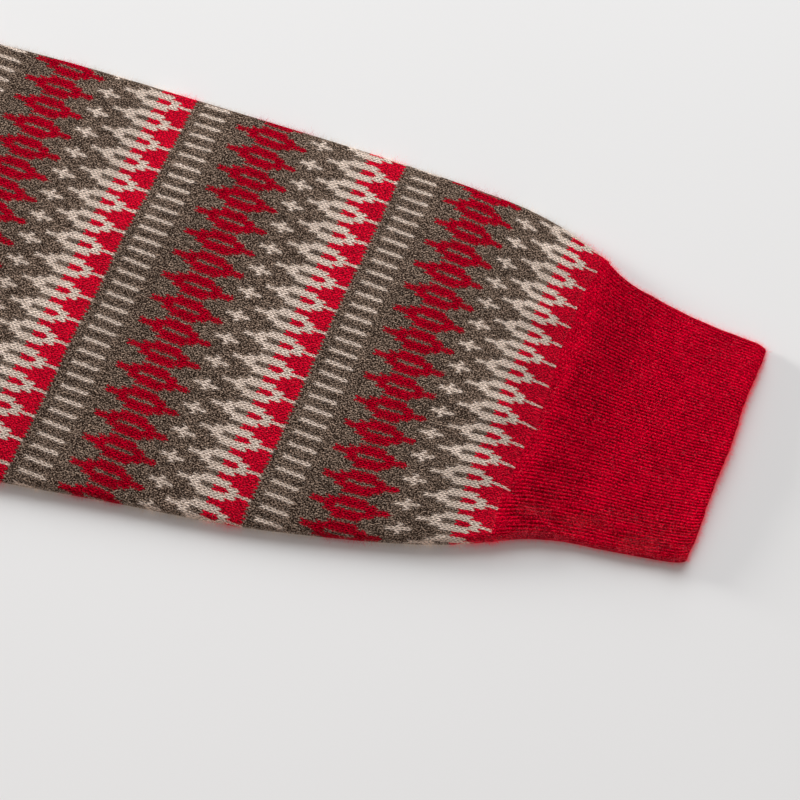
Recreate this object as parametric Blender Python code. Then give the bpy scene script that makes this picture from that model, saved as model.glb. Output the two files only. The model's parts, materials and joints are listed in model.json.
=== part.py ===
"""A crew-neck cashmere sweater laid flat with its front up, its sleeves spread and its neck toward +Y.

Lengths are in metres and +Z is up. The origin is under the middle of the whole garment, on the surface
that it lies on. +X is the wearer's left. Each piece that is cut and sewn on is one knitted wall: the front
lies on the back, and the sleeves, cuffs, hem and neckband are tubes pressed flat, with a rounded fold at
each side.
"""

import math

import bpy
import numpy as np

# The knit and its seams
WALL = 0.0022
SEAM_GAP = 0.0003
LAYER_TOP = 2 * WALL + SEAM_GAP
FOLD_SEGMENTS = 4

# The body, measured flat
HALF_CHEST = 0.270
HALF_WAIST = 0.262
HALF_SHOULDER = 0.225
SIDE_SEAM = 0.345
ARMHOLE_DEPTH = 0.215
ARMHOLE_HOLLOW = 0.010
ARMHOLE_GAP = 0.00042
SHOULDER_SLOPE = math.radians(18)
HALF_NECK = 0.095
FRONT_NECK_DROP = 0.085
BACK_NECK_DROP = 0.020

# The ribbed bands
HEM_HEIGHT = 0.065
HALF_HEM = 0.252
NECKBAND_HEIGHT = 0.026
NECKBAND_LEAN = 0.010
NECKBAND_RISE = 0.022
NECKBAND_FOLD_REACH = 0.3
CUFF_WALL = 0.0027
CUFF_TOP = 0.0064
CUFF_RIBS = 76
RIB_DEPTH = 0.0005

# A sleeve, measured along its wales from the underarm point and across them toward the shoulder
WALE_ANGLE = math.radians(-22)
SLEEVE_WALL = 0.0022

SLEEVE_ROWS = (
    # along, underarm edge, shoulder edge, height at the folds, height in the middle
    (0.060, 0.0100, 0.2035, 0.0052, 0.0066),
    (0.116, 0.0185, 0.2085, 0.0054, 0.0072),
    (0.172, 0.0270, 0.2118, 0.0056, 0.0074),
    (0.217, 0.0380, 0.2140, 0.0056, 0.0074),
    (0.264, 0.0487, 0.2163, 0.0056, 0.0074),
    (0.293, 0.0563, 0.2167, 0.0058, 0.0074),
    (0.318, 0.0635, 0.2160, 0.0060, 0.0076),
    (0.336, 0.0710, 0.2120, 0.0060, 0.0078),
    (0.353, 0.0790, 0.2060, 0.0058, 0.0066),
)

CUFF_ROWS = (
    # along, underarm edge, shoulder edge
    (0.3535, 0.0815, 0.2045),
    (0.3760, 0.0885, 0.1980),
    (0.4000, 0.0925, 0.1953),
    (0.4250, 0.0975, 0.1945),
)

SLEEVE_RIDGES = (
    # along, across, half length, half width, height, turn in degrees from the wales
    (0.334, 0.196, 0.020, 0.006, 0.0010, 4),
    (0.338, 0.172, 0.022, 0.006, 0.0013, 0),
    (0.340, 0.150, 0.016, 0.006, 0.0009, -3),
    (0.336, 0.127, 0.020, 0.007, 0.0011, 3),
    (0.338, 0.102, 0.018, 0.006, 0.0010, -4),
    (0.060, 0.045, 0.055, 0.014, 0.0012, 38),
    (0.105, 0.120, 0.060, 0.016, 0.0009, 20),
)

FRONT_RIDGES = (
    # across from the middle, below the shoulder, half length, half width, height, turn in degrees
    (0.205, 0.235, 0.060, 0.016, 0.0013, 40),
    (-0.198, 0.245, 0.055, 0.016, 0.0012, 138),
    (0.090, 0.400, 0.090, 0.020, 0.0011, 84),
    (-0.110, 0.360, 0.080, 0.018, 0.0010, 98),
    (0.010, 0.480, 0.070, 0.020, 0.0010, 8),
)

# How finely the pieces are divided
ARMHOLE_STEPS = 12
CAP_STEPS = 5
SIDE_STEPS = 6
NECK_STEPS = 16
SHOULDER_STEPS = 4
HEM_STEPS = 12

# Heights on the garment, from its lowest edge, and the shift that puts the origin under its middle
HEM_SEAM = HEM_HEIGHT
UNDERARM = HEM_SEAM + SIDE_SEAM
SHOULDER = UNDERARM + ARMHOLE_DEPTH
NECK_POINT = SHOULDER + (HALF_SHOULDER - HALF_NECK) * math.tan(SHOULDER_SLOPE)
MIDDLE = (NECK_POINT + NECKBAND_RISE) / 2

RED = (0.50, 0.004, 0.020)
HEATHER = (0.110, 0.085, 0.062)


def clear_scene():
    for item in list(bpy.data.objects):
        bpy.data.objects.remove(item, do_unlink=True)


def collection_named(name):
    group = bpy.data.collections.new(name)
    bpy.context.scene.collection.children.link(group)
    return group


def knit_material(name, colour):
    """A dull yarn: rough, not metallic, with a little sheen from its nap."""
    material = bpy.data.materials.new(name)
    material.use_nodes = True
    shader = material.node_tree.nodes["Principled BSDF"]
    shader.inputs["Base Color"].default_value = (*colour, 1.0)
    shader.inputs["Roughness"].default_value = 0.95
    shader.inputs["Metallic"].default_value = 0.0
    shader.inputs["Sheen Weight"].default_value = 0.35
    return material


def grid_faces(rows, columns, wraps):
    """The four corners of each cell of a grid of points, whose last column may join its first."""
    steps = columns if wraps else columns - 1
    row, step = np.mgrid[0 : rows - 1, 0:steps]
    after = (step + 1) % columns
    start, end = row * columns + step, row * columns + after
    return np.stack((start, end, end + columns, start + columns), axis=-1).reshape(-1, 4)


def rim_faces(edge, offset, wraps):
    """A strip of faces that joins an edge of the outer surface to the same edge of the inner one."""
    after = np.roll(edge, -1) if wraps else edge[1:]
    before = edge if wraps else edge[:-1]
    return np.stack((before, after, after + offset, before + offset), axis=-1)


def knitted_wall(name, outer, inner, wraps, material, group):
    """One closed body between two grids of points, rows by columns. A tube's columns wrap round."""
    rows, columns = outer.shape[:2]
    count = rows * columns
    index = np.arange(count).reshape(rows, columns)
    faces = [grid_faces(rows, columns, wraps), grid_faces(rows, columns, wraps)[:, ::-1] + count]
    faces += [rim_faces(index[0], count, wraps)[:, ::-1], rim_faces(index[-1], count, wraps)]
    if not wraps:
        faces += [rim_faces(index[:, 0], count, False), rim_faces(index[:, -1], count, False)[:, ::-1]]
    mesh = bpy.data.meshes.new(name)
    points = np.concatenate((outer.reshape(-1, 3), inner.reshape(-1, 3)))
    mesh.from_pydata(points.tolist(), [], np.concatenate(faces).tolist())
    turn_outward(mesh)
    mesh.materials.append(material)
    mesh.shade_smooth()
    mesh.set_sharp_from_angle(angle=math.radians(50))
    piece = bpy.data.objects.new(name, mesh)
    group.objects.link(piece)
    return piece


def turn_outward(mesh):
    """Flips every face if the closed body has its faces pointing in."""
    mesh.calc_loop_triangles()
    points = np.array([vertex.co for vertex in mesh.vertices])
    corners = points[np.array([triangle.vertices for triangle in mesh.loop_triangles])]
    if np.linalg.det(corners).sum() < 0:
        mesh.flip_normals()


def ridges_at(table, first, second):
    """The height that soft ridges add, from a table of places, sizes and turns."""
    height = np.zeros(np.broadcast(first, second).shape)
    for place, other, half_length, half_width, rise, turn in table:
        angle = math.radians(turn)
        along = (first - place) * math.cos(angle) + (second - other) * math.sin(angle)
        across = (second - other) * math.cos(angle) - (first - place) * math.sin(angle)
        height += rise * np.exp(-((along / half_length) ** 2) - (across / half_width) ** 2)
    return height


def smooth_between(rows, steps):
    """More rows of a table, on a smooth curve through those given."""
    rows = np.array(rows)
    padded = np.concatenate((2 * rows[:1] - rows[1:2], rows, 2 * rows[-1:] - rows[-2:-1]))
    found = []
    for before, start, end, after in zip(padded, padded[1:], padded[2:], padded[3:]):
        for part in np.arange(steps) / steps:
            bend = (end - before + (2 * before - 5 * start + 4 * end - after) * part) * part
            found.append(start + (bend + (3 * start - before - 3 * end + after) * part**3) / 2)
    return np.array(found + [rows[-1]])


def fold_directions(plan):
    """Unit vectors that point out of a section's two folds, for its first and its last point."""
    chord = (plan[-1] - plan[0]) / np.linalg.norm(plan[-1] - plan[0])
    return np.array((-chord, chord))


def flat_ring(top, bottom, folds, heights, relief, wall):
    """The outer and inner points once round a tube that is pressed flat.

    top and bottom are plan points from one fold to the other, as far as the middle of each fold's
    bend. heights are those of the top layer's outer face before its relief is added. The inner face
    stays plain.
    """
    outer = [np.column_stack((top, heights + relief))]
    inner = [np.column_stack((top, heights - wall))]
    turns = np.pi * np.arange(1, FOLD_SEGMENTS) / FOLD_SEGMENTS
    for end in (-1, 0):
        middle = heights[end] / 2
        order = turns if end else turns[::-1]
        for points, radius in ((outer, middle), (inner, middle - wall)):
            plan = top[end] + folds[end] * radius * np.sin(order)[:, None]
            points.append(np.column_stack((plan, middle + radius * np.cos(order))))
        if end:
            outer.append(np.column_stack((bottom[::-1], np.zeros(len(bottom)))))
            inner.append(np.column_stack((bottom[::-1], np.full(len(bottom), wall))))
    return np.concatenate(outer), np.concatenate(inner)


def flat_tube(name, sections, wall, material, group):
    """A tube through sections, each with its top and bottom plan points, folds, heights and relief."""
    rings = [flat_ring(*section, wall) for section in sections]
    outer = np.array([ring[0] for ring in rings])
    inner = np.array([ring[1] for ring in rings])
    return knitted_wall(name, outer, inner, True, material, group)


def armhole_fractions():
    """Even steps up the armhole, apart from the short ones where a sleeve's folds bend."""
    bend = LAYER_TOP / 2 / math.hypot(ARMHOLE_DEPTH, HALF_CHEST - HALF_SHOULDER)
    return np.linspace(bend, 1 - bend, ARMHOLE_STEPS + 1)


def armhole(fraction):
    """Plan points on the armhole seam, from the underarm point at 0 to the shoulder point at 1."""
    flare = (HALF_CHEST - HALF_SHOULDER) * (1 - fraction) ** 3
    hollow = ARMHOLE_HOLLOW * np.sin(np.pi * fraction)
    height = UNDERARM - MIDDLE + ARMHOLE_DEPTH * fraction
    return np.column_stack((HALF_SHOULDER + flare - hollow, height))


def neckline(turn, drop, inset, rise):
    """Plan points on half an ellipse between the neck points, for turns from 0 to pi."""
    half = HALF_NECK - inset
    return np.column_stack((-half * np.cos(turn), NECK_POINT - MIDDLE + rise - drop * np.sin(turn)))


def neck_turns():
    return np.linspace(0, np.pi, NECK_STEPS + 1)


def body_panel(name, neck_drop, bottom, ridges, material, group):
    """The front or the back: rows from the hem seam to the shoulders and the neckline."""
    side = np.linspace(0, 1, SIDE_STEPS + 1)[:, None]
    seam = (HALF_WAIST, HEM_SEAM - MIDDLE) + side * (HALF_CHEST - HALF_WAIST, SIDE_SEAM)
    fractions = np.concatenate((armhole_fractions(), [1.0]))
    edge = np.concatenate((seam, armhole(fractions)))
    neck = neckline(neck_turns(), neck_drop, 0.0, 0.0)
    run = np.linspace(0, 1, SHOULDER_STEPS, endpoint=False)[:, None]
    left = (-HALF_SHOULDER, SHOULDER - MIDDLE) + run * (neck[0] - (-HALF_SHOULDER, SHOULDER - MIDDLE))
    top = np.concatenate((left, neck, left[::-1] * (-1, 1)))
    lowest = HEM_SEAM - MIDDLE + SEAM_GAP
    rise = (edge[:, 1] - edge[0, 1]) / (edge[-1, 1] - edge[0, 1])
    across = edge[:, :1] * top[None, :, 0] / HALF_SHOULDER
    height = lowest + rise[:, None] * (top[None, :, 1] - lowest)
    lift = ridges_at(ridges, across, SHOULDER - MIDDLE - height)
    outer = np.stack((across, height, bottom + WALL + lift), axis=-1)
    inner = np.stack((across, height, bottom + lift), axis=-1)
    return knitted_wall(name, outer, inner, False, material, group)


def turned_to_sleeve(along, across, side):
    """Plan points from distances along and across the wales of the sleeve on the given side."""
    x = HALF_CHEST + along * math.cos(WALE_ANGLE) - across * math.sin(WALE_ANGLE)
    y = UNDERARM - MIDDLE + along * math.sin(WALE_ANGLE) + across * math.cos(WALE_ANGLE)
    return np.stack((side * x, y), axis=-1)


def across_a_row(row, fractions, bend):
    """Distances along and across the wales for one row, as far as the middle of each fold's bend."""
    under, shoulder = row[1] + bend, row[2] - bend
    part = (fractions - fractions[0]) / (fractions[-1] - fractions[0])
    return np.full(len(fractions), row[0]), under + part * (shoulder - under)


def crowned(fractions, at_folds, in_middle):
    """Heights that rise from both folds to a broad flat middle."""
    part = (fractions - fractions[0]) / (fractions[-1] - fractions[0])
    return at_folds + (in_middle - at_folds) * (1 - (2 * part - 1) ** 4)


def sleeve_sections(side):
    fractions = armhole_fractions()
    plain = np.zeros(len(fractions))
    rows = smooth_between(SLEEVE_ROWS, 2)
    along, across = across_a_row(rows[0], fractions, rows[0][3] / 2)
    first = turned_to_sleeve(along, across, side)
    chord = np.array((ARMHOLE_DEPTH, HALF_CHEST - HALF_SHOULDER))
    start = (armhole(fractions) + ARMHOLE_GAP * chord / np.linalg.norm(chord)) * (side, 1)
    seam_ends = armhole(np.array((0.0, fractions[0], fractions[-1], 1.0))) * (side, 1)
    seam_folds = np.array((seam_ends[0] - seam_ends[1], seam_ends[3] - seam_ends[2]))
    seam_folds /= np.linalg.norm(seam_folds, axis=1)[:, None]
    sections = []
    for part in np.arange(CAP_STEPS) / CAP_STEPS:
        plan = start + part * (first - start)
        level = LAYER_TOP + part * (rows[0][3] - LAYER_TOP)
        heights = crowned(fractions, level, level + part * (rows[0][4] - rows[0][3]))
        folds = seam_folds + part * (fold_directions(first) - seam_folds)
        sections.append((plan, plan, folds, heights, plain))
    for row in rows:
        along, across = across_a_row(row, fractions, row[3] / 2)
        plan = turned_to_sleeve(along, across, side)
        heights = crowned(fractions, row[3], row[4])
        heights[1:-1] += ridges_at(SLEEVE_RIDGES, along, across)[1:-1]
        sections.append((plan, plan, fold_directions(plan), heights, plain))
    return sections


def cuff_sections(side):
    """The ribs are raised on the face that shows: a valley and a ridge for each."""
    fractions = np.linspace(0, 1, 2 * CUFF_RIBS + 1)
    ribs = RIB_DEPTH * (np.arange(len(fractions)) % 2 - 1)
    sections = []
    for row in CUFF_ROWS:
        along, across = across_a_row(row, fractions, CUFF_TOP / 2)
        plan = turned_to_sleeve(along, across, side)
        under = plan[[0, len(plan) // 3, 2 * len(plan) // 3, -1]]
        relief = np.where((fractions == 0) | (fractions == 1), 0, ribs)
        sections.append((plan, under, fold_directions(plan), np.full(len(plan), CUFF_TOP), relief))
    return sections


def hem_sections():
    bend = LAYER_TOP / 2
    sections = []
    for height, half in ((0.0, HALF_HEM), (HEM_HEIGHT / 2, HALF_HEM), (HEM_HEIGHT, HALF_WAIST)):
        across = np.linspace(-half + bend, half - bend, HEM_STEPS + 1)
        plan = np.column_stack((across, np.full(len(across), height - MIDDLE)))
        level = np.full(len(plan), LAYER_TOP)
        sections.append((plan, plan, fold_directions(plan), level, np.zeros(len(plan))))
    return sections


def neckband_sections():
    """The band's front half lies on the back panel, and its back half lies on the surface.

    It is drawn in beside its two folds, which bend as far out as the neckline's ends.
    """
    turns = neck_turns()
    fold = LAYER_TOP / 2 * np.clip(1 - np.sin(turns) / NECKBAND_FOLD_REACH, 0, 1) ** 2
    sections = []
    for part in (0.0, 0.5, 1.0):
        inset = SEAM_GAP + NECKBAND_LEAN * part + fold
        rise = SEAM_GAP + NECKBAND_RISE * part
        fall = part * (NECKBAND_HEIGHT - NECKBAND_RISE)
        front = neckline(turns, FRONT_NECK_DROP - fall, inset, rise)
        back = neckline(turns, BACK_NECK_DROP - fall, inset, rise)
        level = np.full(len(turns), LAYER_TOP)
        sections.append((front, back, fold_directions(front), level, np.zeros(len(turns))))
    return sections


def build():
    clear_scene()
    group = collection_named("cashmere_sweater")
    red = knit_material("red_rib", RED)
    heather = knit_material("stranded_knit", HEATHER)
    body_panel("body_back", BACK_NECK_DROP, 0.0, (), heather, group)
    body_panel("body_front", FRONT_NECK_DROP, WALL + SEAM_GAP, FRONT_RIDGES, heather, group)
    for name, side in (("left", 1), ("right", -1)):
        flat_tube("sleeve_" + name, sleeve_sections(side), SLEEVE_WALL, heather, group)
        flat_tube("cuff_" + name, cuff_sections(side), CUFF_WALL, red, group)
    flat_tube("hem_rib", hem_sections(), WALL, red, group)
    flat_tube("neckband", neckband_sections(), WALL, red, group)


build()
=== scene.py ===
"""The looks of a stranded cashmere sweater that is laid flat, seen close at the end of one sleeve.

Each knitted piece is a thin shell on its solid's form. It is worked out as rings round a tube that is
pressed flat, with two rounded folds. Its UV map counts stitches: wales across and courses up from the rib,
so that the chart, the stitches and the nap all follow the cloth. Lengths are in metres.
"""

import json
import math

import bpy
import numpy as np
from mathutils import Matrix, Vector

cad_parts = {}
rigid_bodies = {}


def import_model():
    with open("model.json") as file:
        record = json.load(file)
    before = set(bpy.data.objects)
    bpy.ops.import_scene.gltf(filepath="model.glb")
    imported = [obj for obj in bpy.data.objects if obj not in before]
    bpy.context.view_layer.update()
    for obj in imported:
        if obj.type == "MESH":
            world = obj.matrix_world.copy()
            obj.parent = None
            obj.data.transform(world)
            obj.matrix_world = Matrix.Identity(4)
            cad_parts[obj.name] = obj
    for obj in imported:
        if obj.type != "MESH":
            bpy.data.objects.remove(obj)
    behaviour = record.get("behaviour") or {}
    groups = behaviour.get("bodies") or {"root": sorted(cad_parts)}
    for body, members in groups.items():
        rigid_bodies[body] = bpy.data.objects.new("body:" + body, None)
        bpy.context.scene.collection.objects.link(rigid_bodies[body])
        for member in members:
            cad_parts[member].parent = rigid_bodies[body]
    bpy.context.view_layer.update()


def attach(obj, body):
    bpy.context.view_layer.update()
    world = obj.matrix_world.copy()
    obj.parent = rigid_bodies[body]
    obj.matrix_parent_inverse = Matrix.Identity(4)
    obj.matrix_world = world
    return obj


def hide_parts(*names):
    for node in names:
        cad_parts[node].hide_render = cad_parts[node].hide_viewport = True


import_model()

# ---------------------------------------------------------------- the sweater's sizes
# They are those of its solids, but for the rows of the sleeve and the cuff and the cuff's thickness. There
# the folds are thinner, and the underarm edge and the seam lie where the photograph shows them.

WALL = 0.0022
LAYER_TOP = 0.0047
MIDDLE_LAYER = 0.00235

HALF_CHEST = 0.270
HALF_WAIST = 0.262
HALF_SHOULDER = 0.225
SIDE_SEAM = 0.345
ARMHOLE_DEPTH = 0.215
ARMHOLE_HOLLOW = 0.010
SHOULDER_SLOPE = math.radians(18)
HALF_NECK = 0.095
FRONT_NECK_DROP = 0.085
BACK_NECK_DROP = 0.020
HEM_HEIGHT = 0.065
HALF_HEM = 0.252
NECKBAND_HEIGHT = 0.026
NECKBAND_LEAN = 0.010
NECKBAND_RISE = 0.022
CUFF_TOP = 0.0056
CUFF_THINNING = 0.0017
CUFF_RIBS = 76
CUFF_WALL = 0.0018
CUFF_TURN_BACK = 0.022
CUFF_SWELL = 0.0021
CUFF_RIB_RISE = 0.00030
BAND_RIB_RISE = 0.00040
WALE_ANGLE = math.radians(-22)

UNDERARM = HEM_HEIGHT + SIDE_SEAM
SHOULDER = UNDERARM + ARMHOLE_DEPTH
NECK_POINT = SHOULDER + (HALF_SHOULDER - HALF_NECK) * math.tan(SHOULDER_SLOPE)
MIDDLE = (NECK_POINT + NECKBAND_RISE) / 2

SLEEVE_ROWS = np.array((
    # along, underarm edge, shoulder edge, height at the folds, height in the middle
    (0.060, 0.0100, 0.2046, 0.0048, 0.0072),
    (0.116, 0.0212, 0.2098, 0.0048, 0.0080),
    (0.172, 0.0310, 0.2130, 0.0045, 0.0084),
    (0.217, 0.0398, 0.2153, 0.0044, 0.0084),
    (0.264, 0.0487, 0.2170, 0.0044, 0.0084),
    (0.293, 0.0563, 0.2172, 0.0045, 0.0084),
    (0.318, 0.0638, 0.2162, 0.0047, 0.0084),
    (0.336, 0.0702, 0.2128, 0.0051, 0.0078),
    (0.3555, 0.0791, 0.2062, 0.0056, 0.0064),
))

CUFF_ROWS = np.array((
    # along, underarm edge, shoulder edge
    (0.3450, 0.0745, 0.2108),
    (0.3555, 0.0794, 0.2058),
    (0.3620, 0.0826, 0.2024),
    (0.3760, 0.0880, 0.1985),
    (0.4000, 0.0925, 0.1953),
    (0.4250, 0.0975, 0.1945),
))

SEAM = SLEEVE_ROWS[-1, 0]

# How far the seam with the cuff bows along the sleeve, from the underarm edge to the shoulder edge.
SEAM_BOW = np.array((
    (0.060, 0.0005),
    (0.081, -0.0005),
    (0.095, -0.0024),
    (0.107, -0.0032),
    (0.118, -0.0022),
    (0.140, -0.0036),
    (0.160, -0.0026),
    (0.180, -0.0032),
    (0.197, -0.0016),
    (0.225, 0.0000),
))
SEAM_BOW_ENDS = (0.061, 0.224)

# Soft ridges and troughs of the sleeve's upper layer. The gathers lie where the sleeve meets the cuff.
SLEEVE_CREASES = (
    # along, across, half length, half width, height, turn in degrees from the wales
    (0.334, 0.196, 0.020, 0.006, 0.0010, 4),
    (0.338, 0.172, 0.022, 0.006, 0.0013, 0),
    (0.340, 0.150, 0.016, 0.006, 0.0009, -3),
    (0.336, 0.127, 0.020, 0.007, 0.0011, 3),
    (0.338, 0.102, 0.018, 0.006, 0.0010, -4),
    (0.060, 0.045, 0.055, 0.014, 0.0012, 38),
    (0.105, 0.120, 0.060, 0.016, 0.0009, 20),
)

CUFF_CREASES = (
    # in the same order
    (0.362, 0.188, 0.012, 0.004, 0.0006, 6),
    (0.366, 0.164, 0.014, 0.005, 0.0004, 0),
    (0.360, 0.140, 0.011, 0.004, -0.0005, -2),
    (0.364, 0.118, 0.014, 0.005, 0.0005, -4),
    (0.368, 0.0955, 0.020, 0.0022, -0.0010, -14),
    (0.372, 0.0915, 0.026, 0.0022, 0.0007, -12),
    (0.392, 0.0985, 0.026, 0.0020, -0.0009, -7),
    (0.404, 0.1020, 0.020, 0.0020, 0.0005, -4),
    (0.390, 0.1300, 0.040, 0.0260, -0.0011, 8),
    (0.414, 0.1620, 0.014, 0.0300, 0.0008, 0),
)

FRONT_CREASES = (
    # across from the middle, below the shoulder, half length, half width, height, turn in degrees
    (0.205, 0.235, 0.060, 0.016, 0.0013, 40),
    (-0.198, 0.245, 0.055, 0.016, 0.0012, 138),
    (0.090, 0.400, 0.090, 0.020, 0.0011, 84),
    (-0.110, 0.360, 0.080, 0.018, 0.0010, 98),
    (0.010, 0.480, 0.070, 0.020, 0.0010, 8),
)

# Slow waves in loose cloth and in its rows of stitches: their length in metres and their seed.
SLEEVE_SLACK = (0.055, 3)
FRONT_SLACK = (0.11, 5)
CUFF_SLACK = (0.034, 21)
CUFF_SIDE_SLACK = (0.016, 5)
RIB_SLACK = (0.012, 8)
PLEAT_SLACK = (0.005, 51)
LIP_SLACK = (0.030, 33)
LIP_RIPPLE = (0.007, 34)
WALE_SLACK = (0.060, 41)
COURSE_SLACK = (0.050, 42)

# ---------------------------------------------------------------- the stitches

WALE_WIDTH = 0.01056 / 6
FEATHER_MIDDLE = 0.1429
GATHER_START = 0.290
GATHER_SHARE = 0.15
GATHER_MIDDLE = 0.142
GATHER_DRIFT = 0.0021
COURSE_MARKS = np.array((
    # along the sleeve, courses above the rib
    (-0.140, 260.0),
    (0.1722, 96.0),
    (0.2636, 48.0),
    (0.3538, 0.0),
))
BODY_COURSE = 0.0019
RIB_COURSE = 0.0017

# The repeat is 6 wales by 48 courses, and it is the same on both sides of its middle wale. Each tuple
# names the yarn from a course up to the next one named, for the wales at that distance from the middle.
# Deep is the same red, knitted in single lines through the heather and darker there: painted shade for where
# it lies sunk.
REPEAT_COURSES = 48
CHART = {
    0: ((0, "cream"), (5, "red"), (8, "heather"), (11, "cream"), (16, "heather"), (21, "deep"),
        (26, "heather"), (32, "deep"), (37, "heather"), (40, "cream"), (46, "heather")),
    1: ((0, "red"), (3, "cream"), (13, "heather"), (24, "deep"), (34, "heather")),
    2: ((0, "red"), (5, "cream"), (11, "heather"), (18, "cream"), (19, "heather"), (26, "deep"),
        (32, "heather")),
    3: ((0, "red"), (8, "heather"), (16, "cream"), (21, "heather"), (40, "cream"), (46, "heather")),
}
YARN_MARK = {"red": (1, 0, 0, 1), "cream": (0, 1, 0, 1), "heather": (0, 0, 0, 1), "deep": (1, 0, 1, 1)}
SUNK_RED_PAINTED_SHADE = 0.36

# Where the chart is looked up beside a stitch: how far noise moves the place, and a step to one side.
RED_LOOKS = ((0.9, -0.20), (0.9, 0.20))
CREAM_LOOKS = ((0.9, -0.17), (0.9, 0.17))
HAZE_LOOK = (3.2, 0.0)
HAZE_SHARE = 0.30
STITCH_SLANT = 0.8

# ---------------------------------------------------------------- the yarns

RED = (0.92, 0.0012, 0.031)
RED_DARK = (0.17, 0.0002, 0.006)
CREAM = (0.98, 0.80, 0.69)
CREAM_DARK = (0.60, 0.475, 0.38)
HEATHER_LIGHT = (0.400, 0.284, 0.214)
HEATHER_DARK = (0.028, 0.017, 0.012)
# The nap's colours are paler than the yarns': partly the fibres' own paleness, partly painted light for the
# light that shines through them.
HEATHER_NAP = (0.70, 0.57, 0.47)
RED_NAP = (0.97, 0.095, 0.145)
NAP_FUZZ = 0.8
NAP_PAINTED_GLOW = 0.25
STRANDED_FLUFF = 0.04
# The brightness scales the colour at the tops of the strokes. Above 1 it is painted light. Towards the gaps
# the colour falls to painted shade.
STRANDED_RELIEF = 0.0006
STRANDED_BRIGHTNESS = 1.14
RIB_RELIEF = 0.0003
RIB_BRIGHTNESS = 0.97

# A band of ribbing is darker over the courses past its seam, as painted shade, and paler at a long band's
# free edge, as painted light.
SEAM_PAINTED_SHADE = 0.19
SEAM_SHADE_COURSES = 20
SEAM_SHADE_FADE = 7
END_PAINTED_LIGHT = 0.14
END_LIGHT_FROM = 34
END_LIGHT_FADE = 7

# The nap's fibres: how far they reach on the flat and what a fold adds, and half their width.
FUZZ_REACH = 0.0012
FUZZ_REACH_ON_FOLD = 0.0011
FUZZ_HALF_WIDTH = 0.000025
HAIR_REACH = 0.0018
HAIR_REACH_ON_FOLD = 0.0030
HAIR_HALF_WIDTH = 0.000016
LOWEST_FIBRE = 0.0002
FOLD_CROWDING = 55
UNDERSIDE_CHANCE = 0.03

# ---------------------------------------------------------------- grids and meshes


def smooth_at(place, places, values):
    """A smooth curve through the values: Hermite cubics whose slopes come from the neighbours."""
    slopes = np.gradient(values, places)
    step = np.clip(np.searchsorted(places, place) - 1, 0, len(places) - 2)
    span = places[step + 1] - places[step]
    t = np.clip((place - places[step]) / span, 0, 1)
    first = values[step] * (1 + 2 * t) * (1 - t) ** 2 + slopes[step] * span * t * (1 - t) ** 2
    second = values[step + 1] * t * t * (3 - 2 * t) - slopes[step + 1] * span * t * t * (1 - t)
    return first + second


def smooth_step(value, low, high):
    """Rises from 0 at low to 1 at high, level at both ends: 3t^2 - 2t^3."""
    t = np.clip((value - low) / (high - low), 0, 1)
    return t * t * (3 - 2 * t)


def column_marks(quarter, flat, under):
    """Where the columns of a ring lie: the whole part names the stretch, and the rest how far along it.

    The stretches are a quarter fold at the underarm side, the top, the other fold, the underside and the
    last quarter fold.
    """
    counts = (quarter, flat, 2 * quarter, under, quarter)
    marks = [stretch + np.arange(count) / count for stretch, count in enumerate(counts)]
    return np.concatenate(marks + [[5.0]])


def pressed_ring(marks, width, thick):
    """A stadium section of the given width and thickness, row by row.

    Its two folds are half circles as thick as the section, joined by a flat top and underside. Gives the
    share of the width, the height, both parts of the outward normal, and the distance round from the
    middle of the top.
    """
    radius = thick / 2
    flat = width - thick
    quarter = np.pi * radius / 2
    lengths = np.concatenate([quarter, flat, 2 * quarter, flat, quarter], axis=1)
    starts = np.concatenate([np.zeros_like(quarter), np.cumsum(lengths, axis=1)], axis=1)
    stretch = np.clip(np.floor(marks).astype(int), 0, 4)
    part = marks - stretch
    round_from = starts[:, stretch] + part * lengths[:, stretch] - quarter - flat / 2
    begin = np.array((-0.5, 0.0, 0.0, 1.0, 1.0))[stretch]
    turn = np.array((0.5, 0.0, 1.0, 0.0, 0.5))[stretch]
    angle = np.pi * np.broadcast_to(begin + turn * part, round_from.shape)
    ends = np.array((-0.5, -0.5, 0.5, 0.5, -0.5))[stretch]
    slides = np.array((0.0, 1.0, 0.0, -1.0, 0.0))[stretch]
    across = (ends + slides * part) * flat + radius * np.sin(angle)
    return across / width + 0.5, radius * (1 + np.cos(angle)), np.sin(angle), np.cos(angle), round_from


def ring_normals(points):
    """Unit normals from the differences between neighbouring rows and columns."""
    along = np.gradient(points, axis=0)
    across = np.gradient(points, axis=1)
    normal = np.cross(across, along)
    return normal / np.maximum(np.linalg.norm(normal, axis=2, keepdims=True), 1e-12)


def put_in_scene(name, points, faces, stitches, material):
    """An object with these points and faces. Its UV map has the stitches of each corner of each face."""
    mesh = bpy.data.meshes.new(name)
    mesh.from_pydata(points.tolist(), [], faces)
    layer = mesh.uv_layers.new(name="stitches")
    layer.data.foreach_set("uv", stitches.astype(np.float32).reshape(-1))
    mesh.materials.append(material)
    mesh.shade_smooth()
    piece = bpy.data.objects.new(name, mesh)
    bpy.context.scene.collection.objects.link(piece)
    return piece


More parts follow.
